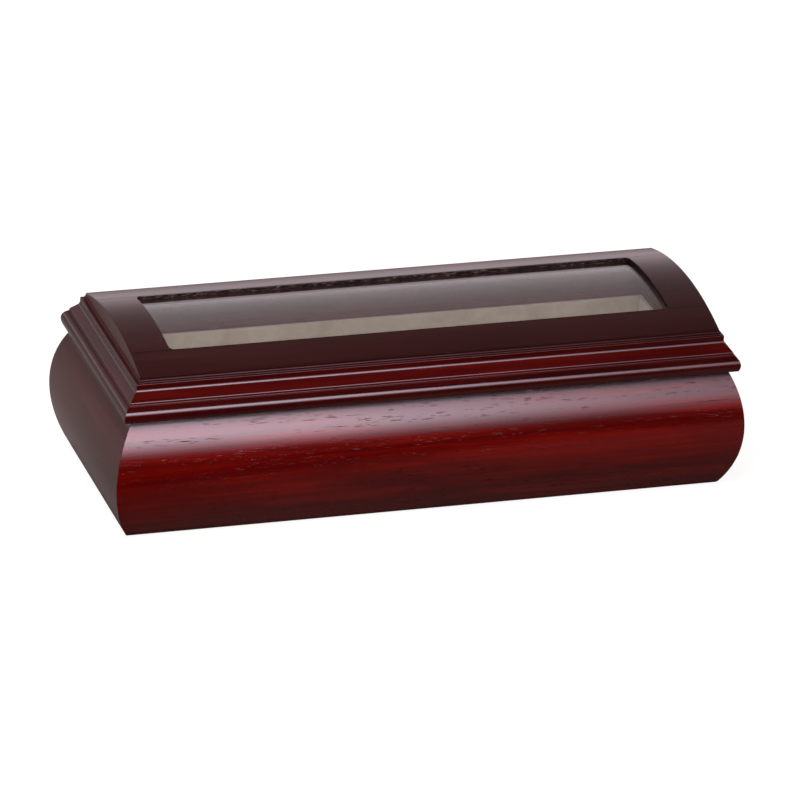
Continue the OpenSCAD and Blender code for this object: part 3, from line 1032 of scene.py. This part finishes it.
paneX, paneY = lapX - arch["paneFit"], lapY - arch["paneFit"]
pane = archStrip("windowPane", paneFoot, paneRadius, -paneY, paneY, 96)
runSection(pane, -paneX, paneX)
smoothOff(pane, 25)
handOver(pane, "lid", "window_pane", "pane_glass", acrylic)

strip = {"thick": 2.0, "back": 1.0, "gap": 0.8, "arris": 0.35, "into": 1}
stripX = (halfWindow + strip["back"], halfPanel - arch["endThick"] - strip["gap"])
stripY = (halfWindowY + strip["back"], rim["halfDepth"] + rail["innerFace"] - strip["gap"])


def bentStrip(name, low, high, ys, xs, steps):
    piece = archStrip(name, low, high, *ys, steps)
    runSection(piece, *xs)
    softenEdges(piece, strip["arris"])
    return piece


def glazingStrip(name, ys, xs, tongueYs, tongueXs, steps):
    # a flat strip under the panel, with a tongue that fills the rebate and bears on the pane
    title = f"glazingStrip{name.capitalize()}"
    flat = bentStrip(title, innerRadius - strip["thick"], innerRadius, ys, xs, steps)
    low = innerRadius - strip["into"]  # sunk into the flat strip
    tongue = bentStrip("tongue", low, paneFoot, tongueYs, tongueXs, steps)
    piece = joinPieces([flat, tongue], title)
    smoothOff(piece)
    handOver(piece, "lid", f"glazing_strip_{name}", "strip_wood", woodStrip)


(innerX, outerX), (innerY, outerY) = stripX, stripY
fullX, fullPaneX, between = (-outerX, outerX), (-paneX, paneX), (-innerY, innerY)
glazingStrip("front", (-outerY, -innerY), fullX, (-paneY, -innerY), fullPaneX, 10)
glazingStrip("back", (innerY, outerY), fullX, (innerY, paneY), fullPaneX, 10)
glazingStrip("left", between, (-outerX, -innerX), between, (-paneX, -innerX), 48)
glazingStrip("right", between, (innerX, outerX), between, (innerX, paneX), 48)
print("lid panel, pane and strips made")

# Inside: lined boards and dividers

clothAngle = 40  # degrees, the same for cloth and felt
# drop: how far the wall linings end under the solids' upper edge
lining = {"arris": 0.6, "floorArris": 0.4, "feltArris": 0.3, "segments": 3, "drop": 1.4}
for side in ("front", "back", "left", "right", "floor"):
    low, high = (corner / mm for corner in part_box(f"{side}_lining"))
    if side != "floor":
        high.z -= lining["drop"]
    piece = block(f"{side}Lining", low, high)
    softenEdges(piece, lining["floorArris" if side == "floor" else "arris"], lining["segments"])
    smoothOff(piece, clothAngle)
    handOver(piece, "case", f"{side}_lining", "lining_suede", suedeLining)

divider = {"thick": 3.0, "rounding": 0.49, "roundSegments": 6}


def alongTop(edge, top):
    # the two long upper edges of a divider
    a, b = (v.co for v in edge.verts)
    return max(abs(a.z - top), abs(b.z - top)) < 1e-5 and abs(a.x - b.x) < 1e-5


for n in range(1, 5):
    low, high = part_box(f"divider_{n}")
    piece = block(f"divider{n}", low / mm, high / mm)
    editMode(piece, "EDGE")
    pick(piece, "EDGE", lambda edge: alongTop(edge, high.z))
    bpy.ops.mesh.bevel(
        offset=divider["thick"] * divider["rounding"] * mm,
        segments=divider["roundSegments"],
        affect="EDGES",
    )
    smoothOff(piece, clothAngle)
    handOver(piece, "case", f"divider_{n}", "lining_suede", suedeLining)

low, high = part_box("underside_felt")
felt = block("undersideFelt", low / mm, high / mm)
softenEdges(felt, lining["feltArris"])
smoothOff(felt, clothAngle)
handOver(felt, "case", "underside_felt", "felt", feltBase)

bottomBoard = frame["nodes"]["bottom_board"]
bottomBoard.data.materials.clear()
bottomBoard.data.materials.append(plyBase)
print("linings and dividers made")

# Strap pillows: one cushion blown up in cloth, then copied

pillow = {
    "start": (0.90, 0.93, 0.91),  # share of the CAD pillow that the cushion starts from
    "voxel": 4.0,
    "pressure": 4.0,
    "frames": 20,
    "cap": 5.0,  # mm, how far a point may move
    "seamX": 20.6,  # where the end pieces are sewn in, from the pillow's middle
    "seamDepth": 0.9,
    "seamWidth": 1.0,
    "puckers": 44,
    "puckerDepth": 0.30,
    "puckerReach": 6.5,  # mm on both sides of the seam
    "lumpDepth": 0.5,
    "lumpsPerMetre": 70.0,
    "fit": 0.995,  # share of the compartment's room that the cushion fills
    "pitch": 53.6,
    "clothQuality": 6,
}


def blownCushion():
    source = frame["nodes"]["pillow_3"]
    cushion = source.copy()
    cushion.data = source.data.copy()
    cushion.parent = None
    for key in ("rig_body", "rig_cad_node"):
        if key in cushion:
            del cushion[key]
    cushion.name = cushion.data.name = "pillow3"
    bpy.context.scene.collection.objects.link(cushion)
    low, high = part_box("pillow_3")
    centre = (low + high) / 2
    editMode(cushion, "VERT")
    bpy.ops.mesh.select_all(action="SELECT")
    bpy.ops.mesh.remove_doubles(threshold=1e-5)
    bpy.ops.transform.resize(value=pillow["start"], center_override=centre)
    workOn(cushion)
    cushion.data.remesh_voxel_size = pillow["voxel"] * mm
    cushion.data.use_remesh_fix_poles = False
    bpy.ops.object.voxel_remesh()
    before = [v.co.copy() for v in cushion.data.vertices]
    cloth = cushion.modifiers.new("cloth", "CLOTH")
    cloth.settings.use_pressure = True
    cloth.settings.uniform_pressure_force = pillow["pressure"]
    cloth.settings.effector_weights.gravity = 0
    cloth.settings.quality = pillow["clothQuality"]
    cloth.point_cache.frame_start = 1
    cloth.point_cache.frame_end = pillow["frames"]
    for step in range(1, pillow["frames"] + 1):
        bpy.context.scene.frame_set(step)
    bpy.ops.object.modifier_apply(modifier=cloth.name)
    bpy.context.scene.frame_set(1)
    for v, was in zip(cushion.data.vertices, before):
        moved = v.co - was
        if moved.length > pillow["cap"] * mm:
            v.co = was + moved.normalized() * pillow["cap"] * mm
    workOn(cushion)
    finer = cushion.modifiers.new("finer", "SUBSURF")
    finer.levels = finer.render_levels = 2
    bpy.ops.object.modifier_apply(modifier=finer.name)
    return cushion, low, high


def sewSeams(cushion, low, high):
    # the end pieces are sewn in with a drawn, puckered seam; the cover sits flat on the lined floor
    centre = (low + high) / 2
    half = (high - low) / 2
    # fit the blown cushion back into the room of its compartment
    spans = [max(abs(v.co[i] - centre[i]) for v in cushion.data.vertices) for i in range(3)]
    for v in cushion.data.vertices:
        p = v.co - centre
        for i in range(3):
            p[i] *= half[i] / spans[i] * pillow["fit"]
        x = p.x / mm
        around = math.atan2(p.z, p.y)
        for seam in (-pillow["seamX"], pillow["seamX"]):
            away = x - seam
            groove = math.exp(-((away / pillow["seamWidth"]) ** 2)) * pillow["seamDepth"]
            fold = math.exp(-((away / pillow["puckerReach"]) ** 2)) * pillow["puckerDepth"]
            wave = math.sin(around * pillow["puckers"] + 1.7 * math.sin(around * 5))
            out = Vector((0, p.y, p.z))
            if out.length > 1e-6 and out.length > 0.2 * half.z:
                p -= out.normalized() * (groove + fold * (0.5 + 0.5 * wave)) * mm
        # a soft unevenness of the stuffing
        swell = noise.noise(p * pillow["lumpsPerMetre"]) * pillow["lumpDepth"] * mm
        out = Vector((0, p.y, p.z))
        if out.length > 1e-6:
            p -= out.normalized() * max(0, swell)
        v.co = centre + p
        v.co.z = max(v.co.z, low.z)


cushion, low, high = blownCushion()
sewSeams(cushion, low, high)
workOn(cushion)
bpy.ops.object.shade_smooth()
cushions = [cushion]
for n in (1, 2, 4, 5):
    shift = ((n - 3) * pillow["pitch"], 0, 0)
    cushions.append(copyPiece(cushion, f"pillow{n}", shift, 1 if n in (2, 5) else None))
for made in cushions:
    n = made.name[-1]
    handOver(made, f"pillow_{n}", f"pillow_{n}", "pillow_suede", suedePillow)
print("pillows blown and sewn")

# Hinges: leaves with rolled knuckles, pins and slotted screws

screwShape = {
    "sink": 0.05,  # how far the head lies under the leaf's face
    "headThick": 0.9,
    "seatDepth": 0.95,
    "slitHalf": 0.26,
    "slitReach": 2.2,
    "slitDepth": 0.45,
    "slitAngle": 37,
    "slitTurn": 11,  # degrees for each mm along the box, so that no two slits stand alike
    "point": 0.2,  # share of the shank's width left at the point
    "arris": 0.07,
}
brassAngle = 50  # degrees, from which the brass has an edge to break


def knuckleBarrel(x0, x1):
    y, z = hinge["axisY"], rim["height"]
    barrel = bar("knuckle", (x0, y, z), (x1, y, z), hinge["knuckleRadius"])
    editMode(barrel, "FACE")
    pick(barrel, "FACE", lambda f: abs(f.normal.x) > 0.9)
    bpy.ops.mesh.inset(thickness=(hinge["knuckleRadius"] - hinge["boreRadius"]) * mm)
    pick(barrel, "FACE", lambda f: abs(f.normal.x) > 0.9 and len(f.verts) > 4)
    bpy.ops.mesh.delete(type="FACE")
    pick(barrel, "EDGE", lambda e: e.is_boundary)
    bpy.ops.mesh.bridge_edge_loops()
    faceOutwards()
    softenEdges(barrel, hinge["arris"], 2, brassAngle)
    return barrel


def slottedScrew(x, up):
    # countersunk slotted screw, its head flush with the leaf
    y, z = hinge["screwY"], rim["height"] - screwShape["sink"]
    r = hinge["screwHead"]
    middle = Vector((x, y, 0)) * mm
    screw = bar("screw", (x, y, z - screwShape["headThick"]), (x, y, z), r, 32)
    editMode(screw, "FACE")
    pick(screw, "FACE", lambda f: f.normal.z < -0.9)
    bpy.ops.transform.resize(value=(1 / r, 1 / r, 1), center_override=middle)
    shank = hinge["screwLength"] - hinge["screwTip"]
    for length in (shank, hinge["screwPoint"]):
        bpy.ops.mesh.extrude_region_move(TRANSFORM_OT_translate={"value": (0, 0, -length * mm)})
    share = screwShape["point"]
    bpy.ops.transform.resize(value=(share, share, 1), center_override=middle)
    wide, far, deep = (screwShape[k] for k in ("slitHalf", "slitReach", "slitDepth"))
    slit = block("slit", (x - far, y - wide, z - deep), (x + far, y + wide, z + pastRim))
    workOn(slit)
    slit.location = -middle
    bpy.ops.object.transform_apply(location=True)
    slit.rotation_euler.z = math.radians(screwShape["slitAngle"] + x * screwShape["slitTurn"])
    bpy.ops.object.transform_apply(rotation=True)
    slit.location = middle
    bpy.ops.object.transform_apply(location=True)
    cutAway(screw, slit)
    softenEdges(screw, screwShape["arris"], 2, 40)
    if up:  # the lid's screws go up into the rail
        workOn(screw)
        screw.scale.z = -1
        screw.location.z = 2 * rim["height"] * mm
        bpy.ops.object.transform_apply()
        bpy.ops.object.mode_set(mode="EDIT")
        faceOutwards()
        bpy.ops.object.mode_set(mode="OBJECT")
    return screw


def hingeLeaf(x, up, own):
    # a plate with two screw holes, and the knuckles that are its own, each on a short tongue
    left, z = x - hinge["length"] / 2, rim["height"]
    step = hinge["length"] / hinge["knuckles"]
    z0, z1 = (z, z + hinge["leafThick"]) if up else (z - hinge["leafThick"], z)
    plate = block(
        "plate", (left, hinge["leafInner"], z0), (left + hinge["length"], hinge["leafOuter"], z1)
    )
    y, reach = hinge["screwY"], hinge["screwHead"] + hinge["screwFit"]
    deep = screwShape["seatDepth"]
    for sx in (x - hinge["screwPitch"] / 2, x + hinge["screwPitch"] / 2):
        cutAway(plate, bar("seat", (sx, y, z - deep), (sx, y, z + deep), reach))
    softenEdges(plate, hinge["arris"], 2, brassAngle)
    parts = [plate]
    y0, y1 = hinge["leafOuter"] - hinge["tongueIn"], hinge["axisY"] - hinge["tongueShort"]
    for k in own:
        x0 = left + k * step + hinge["knuckleGap"] / 2
        x1 = left + (k + 1) * step - hinge["knuckleGap"] / 2
        tongue = block("tongue", (x0, y0, z0), (x1, y1, z1))
        softenEdges(tongue, hinge["tongueArris"], 2, brassAngle)
        parts += [tongue, knuckleBarrel(x0, x1)]
    return joinPieces(parts, "leaf")


def hingePin(x, name):
    y, z, sunk = hinge["axisY"], rim["height"], hinge["pinSunk"]
    low, high = x - hinge["length"] / 2, x + hinge["length"] / 2
    parts = [bar("shaft", (low - sunk, y, z), (high + sunk, y, z), hinge["pinRadius"])]
    for end, s in ((low, -1), (high, 1)):
        tip = end + s * hinge["pinHeadThick"]
        head = bar("head", (end, y, z), (tip, y, z), hinge["pinHeadRadius"])
        softenEdges(head, hinge["pinArris"], 3, brassAngle)
        parts.append(head)
    return joinPieces(parts, name)


def screwPair(x, up, name):
    half = hinge["screwPitch"] / 2
    return joinPieces([slottedScrew(x + s * half, up) for s in (-1, 1)], name)


for x, side in zip(hinge["places"], ("left", "right")):
    lower = hingeLeaf(x, False, (0, 2, 4))
    lower.name = f"{side}HingeBodyLeaf"
    upper = hingeLeaf(x, True, (1, 3))
    upper.name = f"{side}HingeLidLeaf"
    pin = hingePin(x, f"{side}HingePin")
    lowScrews = screwPair(x, False, f"{side}HingeBodyScrews")
    highScrews = screwPair(x, True, f"{side}HingeLidScrews")
    for piece, body, node, slotName, finish in (
        (lower, "case", "body_leaf", "hinge_brass", brassHinge),
        (upper, "lid", "lid_leaf", "hinge_brass", brassHinge),
        (pin, "case", "pin", "pin_brass", brassScrew),
        (lowScrews, "case", "body_screws", "pin_brass", brassScrew),
        (highScrews, "lid", "lid_screws", "pin_brass", brassScrew),
    ):
        smoothOff(piece, 40)
        handOver(piece, body, f"{side}_hinge_{node}", slotName, finish)
print("hinges made")

# Studio: floor, black card, softbox, matt panels, room and camera. Lengths here are metres.

studio = {
    "floorGrey": "#756a68",  # what lights the box from below; the camera sees white instead
    "mirrorTint": (1.12, 0.91, 0.94, 1),  # the floor's glow in reflections
    "floorGlow": 0.93,
    "farFloor": (0.7, 2.2),  # from the box, where reflections of the floor turn pale
    "farGlow": 0.8,
    "leftFloor": 0.19,  # how pale the floor behind and to the left is in reflections
    "leftward": (-0.6, 0.8, 0),
    "leftFade": (0.05, 0.25),
    "cardReach": 6.0,
    "cardEdge": 0.080,  # in front of the box's middle, towards the camera
    "cardFade": 0.07,
    "cardTurn": -19.5,
    "softboxPlane": -1.25,  # how far in front the softbox hangs
    "softboxFoot": 0.02,
    "softboxTop": 0.72,
    "softboxWide": (-0.10, 0.85),
    "softboxFall": (0.25, 0.66),  # along X, between which it grows weaker
    "softboxWeak": 0.29,
    "softboxRise": (  # from its foot to its top, how bright it is
        (0.0, 0.03), (0.12, 0.17), (0.25, 0.45), (0.38, 0.80),
        (0.52, 1.0), (0.64, 1.0), (0.8, 0.9), (1.0, 0.75),
    ),
    "softboxPeak": 9.0,
    "softboxColour": (1.0, 0.965, 1.13, 1),
    # panels that light the matt colours: place, size, strength
    "mattPanels": (((-0.36, -0.45, 0.85), 0.6, 11.3), ((0.25, 0.90, 0.50), 0.7, 3.0)),
}


def studioFloor():
    clearSelection()
    bpy.ops.mesh.primitive_plane_add(size=12)
    floor = bpy.context.object
    floor.name = "studioFloor"
    made, tree = newMaterial("Pale studio floor")
    path = addNode(tree, "LightPath")
    seen = addNode(
        tree,
        "Math",
        {"operation": "MAXIMUM"},
        {0: path.outputs["Is Camera Ray"], 1: path.outputs["Is Transmission Ray"]},
    )
    place = addNode(tree, "TexCoord").outputs["Object"]
    away = addNode(tree, "VectorMath", {"operation": "LENGTH"}, {0: place}).outputs["Value"]
    far = addNode(
        tree, "MapRange", {"range": (*studio["farFloor"], 0, studio["farGlow"])}, {"Value": away}
    )
    leftward = addNode(
        tree, "VectorMath", {"operation": "DOT_PRODUCT", 1: studio["leftward"]}, {0: place}
    ).outputs["Value"]
    near = addNode(
        tree,
        "MapRange",
        {"range": (*studio["leftFade"], 0, studio["leftFloor"])},
        {"Value": leftward},
    )
    pale = addNode(tree, "Math", {"operation": "MAXIMUM"}, {0: far, 1: near})
    mirrored = addNode(
        tree, "Math", {"operation": "MULTIPLY"}, {0: path.outputs["Is Glossy Ray"], 1: pale}
    )
    direct = addNode(tree, "Math", {"operation": "MULTIPLY", 1: studio["floorGlow"]}, {0: seen})
    white = addNode(tree, "Emission", {"Color": (1, 1, 1, 1)}, {"Strength": direct})
    warm = addNode(tree, "Emission", {"Color": studio["mirrorTint"]}, {"Strength": mirrored})
    paper = addNode(tree, "BsdfDiffuse", {"Color": tone(studio["floorGrey"])})
    shade = white
    for other in (warm, paper):
        shade = addNode(tree, "AddShader", {}, {0: shade, 1: other})
    addNode(tree, "OutputMaterial", {}, {"Surface": shade})
    floor.data.materials.append(made)


def hideFrom(piece, *rays):
    for ray in rays:
        setattr(piece, f"visible_{ray}", False)


def frontSoftbox():
    # an upright softbox in front, right of the camera: its mirror image is the highlight on the bombé
    clearSelection()
    left, right = studio["softboxWide"]
    foot, top = studio["softboxFoot"], studio["softboxTop"]
    bpy.ops.mesh.primitive_plane_add(size=1)
    softbox = bpy.context.object
    softbox.name = "frontSoftbox"
    softbox.scale = (right - left, top - foot, 1)
    softbox.rotation_euler = (math.radians(-90), 0, 0)
    softbox.location = ((left + right) / 2, studio["softboxPlane"], (foot + top) / 2)
    bpy.ops.object.transform_apply()
    made, tree = newMaterial("Softbox cloth")
    place = addNode(tree, "TexCoord").outputs["Object"]
    split = addNode(tree, "SeparateXYZ", {}, {0: place})
    along = addNode(
        tree,
        "MapRange",
        {
            "interpolation_type": "SMOOTHSTEP",
            "range": (*studio["softboxFall"], 1.0, studio["softboxWeak"]),
        },
        {"Value": split.outputs["X"]},
    )
    height = addNode(tree, "MapRange", {"range": (foot, top)}, {"Value": split.outputs["Z"]})
    steps = [(share, (level, level, level, 1)) for share, level in studio["softboxRise"]]
    upward = addNode(tree, "ValToRGB", {"stops": steps}, {"Fac": height})
    shape = addNode(tree, "Math", {"operation": "MULTIPLY"}, {0: along, 1: upward})
    power = addNode(tree, "Math", {"operation": "MULTIPLY", 1: studio["softboxPeak"]}, {0: shape})
    glow = addNode(tree, "Emission", {"Color": studio["softboxColour"]}, {"Strength": power})
    addNode(tree, "OutputMaterial", {}, {"Surface": glow})
    softbox.data.materials.append(made)
    hideFrom(softbox, "camera", "transmission", "shadow", "diffuse")


def mattPanel(place, size, strength):
    # a panel that only the matt colours feel
    clearSelection()
    bpy.ops.mesh.primitive_plane_add(size=size)
    cloth = bpy.context.object
    cloth.name = "mattPanel"
    cloth.location = place
    cloth.rotation_euler = (-Vector(place)).to_track_quat("Z", "Y").to_euler()
    made, tree = newMaterial("Matt panel cloth")
    glow = addNode(tree, "Emission", {"Color": (1, 0.985, 0.965, 1), "Strength": strength})
    addNode(tree, "OutputMaterial", {}, {"Surface": glow})
    cloth.data.materials.append(made)
    hideFrom(cloth, "camera", "transmission", "shadow", "glossy")


def blackCard():
    # black paper on the floor in front, which only the lacquer sees: it keeps the front deep red
    clearSelection()
    reach = studio["cardReach"]
    turn = math.radians(studio["cardTurn"])
    towards = Vector((math.sin(turn), -math.cos(turn), 0))
    bpy.ops.mesh.primitive_plane_add(size=1)
    card = bpy.context.object
    card.name = "blackCard"
    card.scale = (3 * reach, reach, 1)
    bpy.ops.object.transform_apply(location=False, rotation=False, scale=True)
    card.rotation_euler.z = turn
    card.location = towards * (studio["cardEdge"] + reach / 2) + Vector((0, 0, 0.0005))
    made, tree = newMaterial("Black card")
    place = addNode(tree, "TexCoord").outputs["Object"]
    inward = addNode(tree, "SeparateXYZ", {}, {0: place}).outputs["Y"]
    bare = addNode(
        tree, "MapRange", {"range": (reach / 2 - studio["cardFade"], reach / 2)}, {"Value": inward}
    )
    dark = addNode(tree, "BsdfDiffuse", {"Color": (0, 0, 0, 1)})
    clear = addNode(tree, "BsdfTransparent")
    both = addNode(tree, "MixShader", {}, {0: bare, 1: dark, 2: clear})
    addNode(tree, "OutputMaterial", {}, {"Surface": both})
    card.data.materials.append(made)
    hideFrom(card, "camera", "diffuse", "transmission", "shadow")


room = {
    "tint": (1.16, 1, 1.07),
    "levels": (  # sine of the height over the horizon, how bright the room is there
        (0.0, 1.15), (0.07, 1.0), (0.16, 0.76), (0.26, 0.44), (0.38, 0.31),
        (0.46, 0.25), (0.6, 0.18), (0.76, 0.12), (0.88, 0.06), (1.0, 0.05),
    ),
    "front": 0.08,  # in front of the box, where the room is dark
    "sides": (0.8, 1.1),  # left and right
    "throughPane": 0.45,  # what the pane shows of the room above the floor
}


def studioWorld():
    # a white room behind, dark overhead and in front; the camera sees plain white
    world = bpy.data.worlds.new("studioWorld")
    bpy.context.scene.world = world
    world.use_nodes = True
    tree = world.node_tree
    tree.nodes.clear()
    direction = addNode(tree, "TexCoord").outputs["Generated"]
    split = addNode(tree, "SeparateXYZ", {}, {0: direction})
    red, green, blue = room["tint"]
    steps = [(up, (red * grey, green * grey, blue * grey, 1)) for up, grey in room["levels"]]
    level = addNode(tree, "ValToRGB", {"stops": steps}, {"Fac": split.outputs["Z"]})
    behind = addNode(
        tree, "MapRange", {"range": (-0.15, 0.5, room["front"], 1.0)}, {"Value": split.outputs["Y"]}
    )
    rightward = addNode(
        tree, "MapRange", {"range": (-0.6, 0.5, *room["sides"])}, {"Value": split.outputs["X"]}
    )
    strength = addNode(tree, "Math", {"operation": "MULTIPLY"}, {0: behind, 1: rightward})
    lit = addNode(tree, "Background", {}, {"Color": level, "Strength": strength})
    white = addNode(tree, "Background", {"Color": (1, 1, 1, 1), "Strength": 1.0})
    path = addNode(tree, "LightPath")
    above = addNode(
        tree,
        "MapRange",
        {"range": (0.02, 0.06, 1.0, room["throughPane"])},
        {"Value": split.outputs["Z"]},
    )
    through = addNode(
        tree, "Math", {"operation": "MULTIPLY"}, {0: path.outputs["Is Transmission Ray"], 1: above}
    )
    seen = addNode(
        tree, "Math", {"operation": "MAXIMUM"}, {0: path.outputs["Is Camera Ray"], 1: through}
    )
    both = addNode(tree, "MixShader", {}, {0: seen, 1: lit, 2: white})
    addNode(tree, "OutputWorld", {}, {"Surface": both})


view = {
    "azimuth": -19.71,
    "elevation": 25.77,
    "roll": 3.94,
    "distance": 3.1359,
    "target": (0.00245, 0.00233, 0.03166),
    "lens": 301.5,
}


def placeCamera():
    az, el, roll = (math.radians(view[k]) for k in ("azimuth", "elevation", "roll"))
    back = Vector((math.sin(az) * math.cos(el), -math.cos(az) * math.cos(el), math.sin(el)))
    right = Vector((math.cos(az), math.sin(az), 0))
    up = back.cross(right)
    rightRolled = right * math.cos(roll) + up * math.sin(roll)
    upRolled = up * math.cos(roll) - right * math.sin(roll)
    data = bpy.data.cameras.new("photoCamera")
    data.lens = view["lens"]
    data.sensor_width = 36
    data.clip_start, data.clip_end = 0.1, 50
    camera = bpy.data.objects.new("photoCamera", data)
    bpy.context.scene.collection.objects.link(camera)
    place = Vector(view["target"]) + back * view["distance"]
    matrix = camera.matrix_world.copy()
    for i, column in enumerate((rightRolled, upRolled, back, place)):
        for j in range(3):
            matrix[j][i] = column[j]
    camera.matrix_world = matrix
    bpy.context.scene.camera = camera


studioFloor()
blackCard()
frontSoftbox()
for panelPlace in studio["mattPanels"]:
    mattPanel(*panelPlace)
studioWorld()
placeCamera()
bpy.context.scene.view_settings.view_transform = "Standard"
print("studio set")
